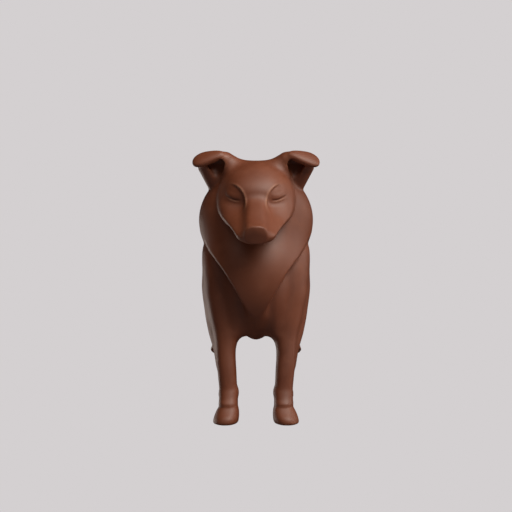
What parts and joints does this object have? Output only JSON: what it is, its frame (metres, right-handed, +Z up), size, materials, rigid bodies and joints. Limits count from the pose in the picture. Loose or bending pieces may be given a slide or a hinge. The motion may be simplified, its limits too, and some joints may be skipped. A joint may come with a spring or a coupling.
{
  "type": "dog sculpture",
  "caption": "Standing sheepdog figure with a full ruff, folded ears, closed eyes and a hanging tail, moulded in one piece of burnished brown fired clay.",
  "frame": {"origin": "on the floor under the middle of the figure, centre of its bounding box in X and Y and the plane of the soles in Z", "axes": "+Z up, the dog looks along -Y with its tail at +Y, and X = 0 is its plane of symmetry, with its left side at +X"},
  "size_m": [0.1404, 0.34, 0.3],
  "materials": {
    "clay": "burnished brown fired clay with a soft satin gloss"
  },
  "bodies": {
    "root": {"dog": "clay"}
  },
  "joints": []
}
